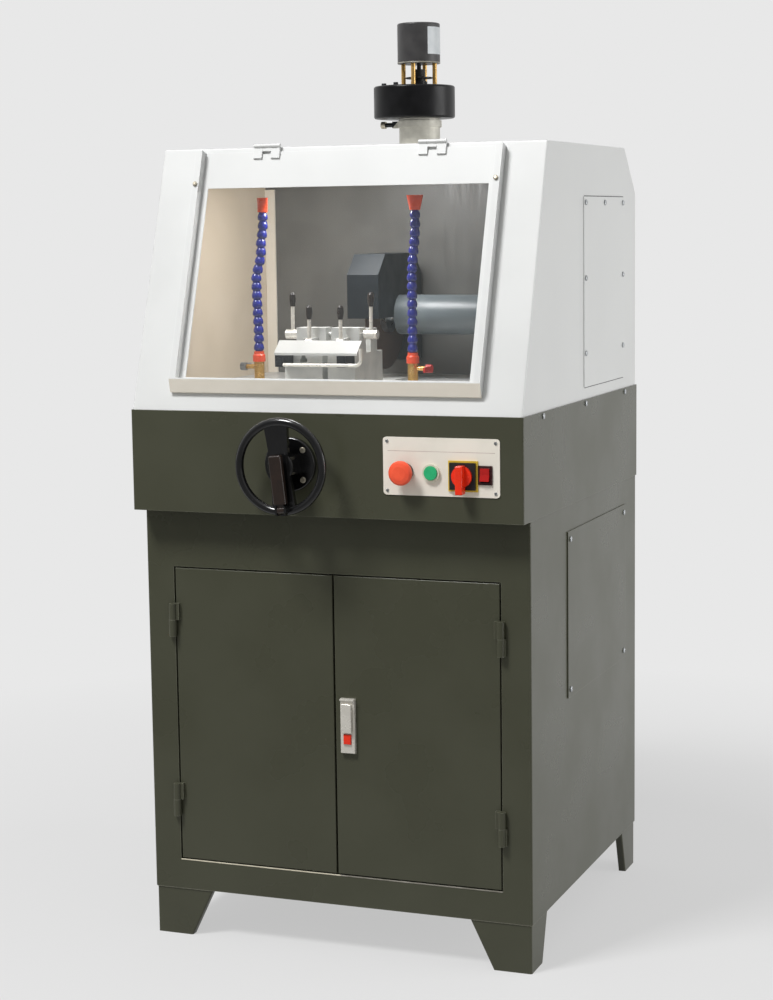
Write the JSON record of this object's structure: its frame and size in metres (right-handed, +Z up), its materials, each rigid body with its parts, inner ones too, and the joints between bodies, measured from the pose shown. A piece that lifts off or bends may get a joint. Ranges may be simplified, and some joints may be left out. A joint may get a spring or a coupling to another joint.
{
  "type": "abrasive cut-off machine",
  "caption": "Wet abrasive cut-off machine: white hood with lift-up window over a slotted vise table, dark feed case with handwheel and switches, cabinet with doors on tapered feet.",
  "frame": {"origin": "middle of the machine's outline on the floor", "axes": "+Z up, +Y to the rear, +X to the operator's right"},
  "size_m": [0.7052, 0.7951, 1.597],
  "materials": {
    "olive_paint": "semi-matt dark olive-grey enamel",
    "white_paint": "satin white enamel",
    "clear_pane": "clear impact sheet",
    "zinc_steel": "zinc-plated or ground steel",
    "stainless": "brushed stainless sheet",
    "table_iron": "machined grey iron",
    "white_bar": "white bar on dark brackets",
    "black_plastic": "fine-grained black moulding",
    "lever_steel": "bright arms with dark knobs",
    "plate_aluminium": "satin anodised sheet",
    "dial_black": "glossy black flange",
    "red_plastic": "glossy red",
    "green_plastic": "glossy green",
    "blue_plastic": "blue hose links",
    "orange_plastic": "orange-red fittings",
    "brass": "turned brass",
    "valve_grey": "grey lever",
    "valve_red": "red lever",
    "guard_paint": "dark slate-blue enamel",
    "abrasive": "bonded abrasive",
    "belt_rubber": "moulded rubber",
    "motor_paint": "grey-painted light alloy",
    "pipe_plastic": "grey pipe",
    "tank_plastic": "moulded grey tank",
    "fan_black": "gloss black",
    "fan_motor_grey": "dark grey can",
    "impeller_alloy": "pressed sheet"
  },
  "bodies": {
    "machine": {"cabinet_shell": "olive_paint", "cabinet_feet": "olive_paint", "side_access_panel": "olive_paint", "cabinet_back_cover": "olive_paint", "cable_gland": "black_plastic", "panel_screws": "zinc_steel", "fixed_hinges": "olive_paint", "feed_case": "olive_paint", "hood_shell": "white_paint", "hood_side_plate": "white_paint", "control_plate": "plate_aluminium", "button_bezels": "black_plastic", "electrics": "black_plastic", "dial_flange": "dial_black", "guide_rods": "zinc_steel", "spindle_housing": "zinc_steel", "wheel_guard": "guard_paint", "belt_guard": "olive_paint", "drive_belt": "belt_rubber", "drive_motor": "motor_paint", "motor_shelf": "olive_paint", "chamber_tray": "stainless", "splash_panel": "stainless", "coolant_tank": "tank_plastic", "coolant_pump": "motor_paint", "coolant_pipes": "pipe_plastic", "valve_bodies": "brass", "coolant_hoses": "blue_plastic", "hose_fittings": "orange_plastic", "fan_duct": "plate_aluminium", "fan_volute": "fan_black", "fan_motor": "fan_motor_grey"},
    "window": {"window_frame": "white_paint", "window_pane": "clear_pane"},
    "left_door": {"left_door": "olive_paint"},
    "right_door": {"right_door": "olive_paint", "lock_base": "zinc_steel"},
    "lock_lever": {"lock_lever": "zinc_steel"},
    "lock_button": {"lock_button": "red_plastic"},
    "handwheel": {"handwheel": "black_plastic", "lead_screw": "zinc_steel"},
    "handwheel_grip": {"handwheel_grip": "black_plastic"},
    "table": {"table_carriage": "table_iron", "table_blocks": "table_iron", "vise_jaws": "table_iron", "clamp_bar": "white_bar"},
    "clamp_lever_1": {"clamp_lever_1": "lever_steel"},
    "clamp_lever_2": {"clamp_lever_2": "lever_steel"},
    "clamp_lever_3": {"clamp_lever_3": "lever_steel"},
    "clamp_lever_4": {"clamp_lever_4": "lever_steel"},
    "stop_button": {"stop_button": "red_plastic"},
    "start_button": {"start_button": "green_plastic"},
    "isolator": {"isolator_handle": "red_plastic"},
    "rocker": {"rocker_key": "red_plastic"},
    "valve_lever_left": {"valve_lever_left": "valve_grey"},
    "valve_lever_right": {"valve_lever_right": "valve_red"},
    "spindle": {"spindle_shaft": "zinc_steel", "abrasive_wheel": "abrasive"},
    "motor_rotor": {"motor_pulley": "zinc_steel"},
    "fan_rotor": {"fan_impeller": "impeller_alloy"}
  },
  "joints": [
    {"name": "window_lift", "type": "hinge", "parent": "machine", "child": "window", "pos_m": [0, -0.18545, 1.37436], "axis": [-1, 0, 0], "range_deg": [0, 100]},
    {"name": "left_door_swing", "type": "hinge", "parent": "machine", "child": "left_door", "pos_m": [-0.298, -0.29391, 0.3975], "axis": [0, 0, -1], "range_deg": [0, 115]},
    {"name": "right_door_swing", "type": "hinge", "parent": "machine", "child": "right_door", "pos_m": [0.298, -0.29391, 0.3975], "axis": [0, 0, 1], "range_deg": [0, 115]},
    {"name": "lock_turn", "type": "hinge", "parent": "right_door", "child": "lock_lever", "pos_m": [0.0255, -0.28741, 0.43], "axis": [0, 1, 0], "range_deg": [0, 90]},
    {"name": "lock_button_press", "type": "slide", "parent": "right_door", "child": "lock_button", "axis": [0, 1, 0], "range_m": [0, 0.0025], "stiffness_N_per_m": 500},
    {"name": "feed_turn", "type": "hinge", "parent": "machine", "child": "handwheel", "pos_m": [-0.053, -0.32841, 0.847], "axis": [0, 1, 0], "range_deg": [0, 5400]},
    {"name": "table_feed", "type": "slide", "parent": "machine", "child": "table", "axis": [0, 1, 0], "range_m": [0, 0.15]},
    {"name": "grip_fold", "type": "hinge", "parent": "handwheel", "child": "handwheel_grip", "pos_m": [-0.04629, -0.38791, 0.77732], "axis": [0.9954, 0, 0.0958], "range_deg": [0, 88]},
    {"name": "clamp_lever_1_turn", "type": "hinge", "parent": "table", "child": "clamp_lever_1", "pos_m": [-0.126, -0.14541, 1.052], "axis": [1, 0, 0], "range_deg": [-10, 45]},
    {"name": "clamp_lever_2_turn", "type": "hinge", "parent": "table", "child": "clamp_lever_2", "pos_m": [-0.082, -0.17641, 1.04], "axis": [1, 0, 0], "range_deg": [-10, 45]},
    {"name": "clamp_lever_3_turn", "type": "hinge", "parent": "table", "child": "clamp_lever_3", "pos_m": [-0.024, -0.17641, 1.04], "axis": [1, 0, 0], "range_deg": [-10, 45]},
    {"name": "clamp_lever_4_turn", "type": "hinge", "parent": "table", "child": "clamp_lever_4", "pos_m": [0.02, -0.14541, 1.052], "axis": [1, 0, 0], "range_deg": [-10, 45]},
    {"name": "stop_press", "type": "slide", "parent": "machine", "child": "stop_button", "axis": [0, 1, 0], "range_m": [0, 0.005], "stiffness_N_per_m": 1500},
    {"name": "start_press", "type": "slide", "parent": "machine", "child": "start_button", "axis": [0, 1, 0], "range_m": [0, 0.003], "stiffness_N_per_m": 800},
    {"name": "isolator_turn", "type": "hinge", "parent": "machine", "child": "isolator", "pos_m": [0.2487, -0.32841, 0.8357], "axis": [0, 1, 0], "range_deg": [0, 90]},
    {"name": "rocker_tilt", "type": "hinge", "parent": "machine", "child": "rocker", "pos_m": [0.286, -0.32691, 0.838], "axis": [1, 0, 0], "range_deg": [0, 16]},
    {"name": "valve_left_turn", "type": "hinge", "parent": "machine", "child": "valve_lever_left", "pos_m": [-0.197, -0.13341, 0.994], "axis": [1, 0, 0], "range_deg": [0, 90]},
    {"name": "valve_right_turn", "type": "hinge", "parent": "machine", "child": "valve_lever_right", "pos_m": [0.091, -0.13341, 0.994], "axis": [-1, 0, 0], "range_deg": [0, 90]},
    {"name": "spindle_spin", "type": "hinge", "parent": "machine", "child": "spindle", "pos_m": [-0.053, 0.11159, 1.075], "axis": [1, 0, 0], "continuous": true},
    {"name": "motor_spin", "type": "hinge", "parent": "machine", "child": "motor_rotor", "pos_m": [0.275, 0.11159, 0.56], "axis": [1, 0, 0], "continuous": true},
    {"name": "fan_spin", "type": "hinge", "parent": "machine", "child": "fan_rotor", "pos_m": [0.0087, 0.13659, 1.428], "axis": [0, 0, 1], "continuous": true}
  ],
  "couplings": [
    {"joint": "feed_turn", "follows": "table_feed", "rad_per_m": 628.32},
    {"joint": "motor_spin", "follows": "spindle_spin", "ratio": 1.1163}
  ]
}
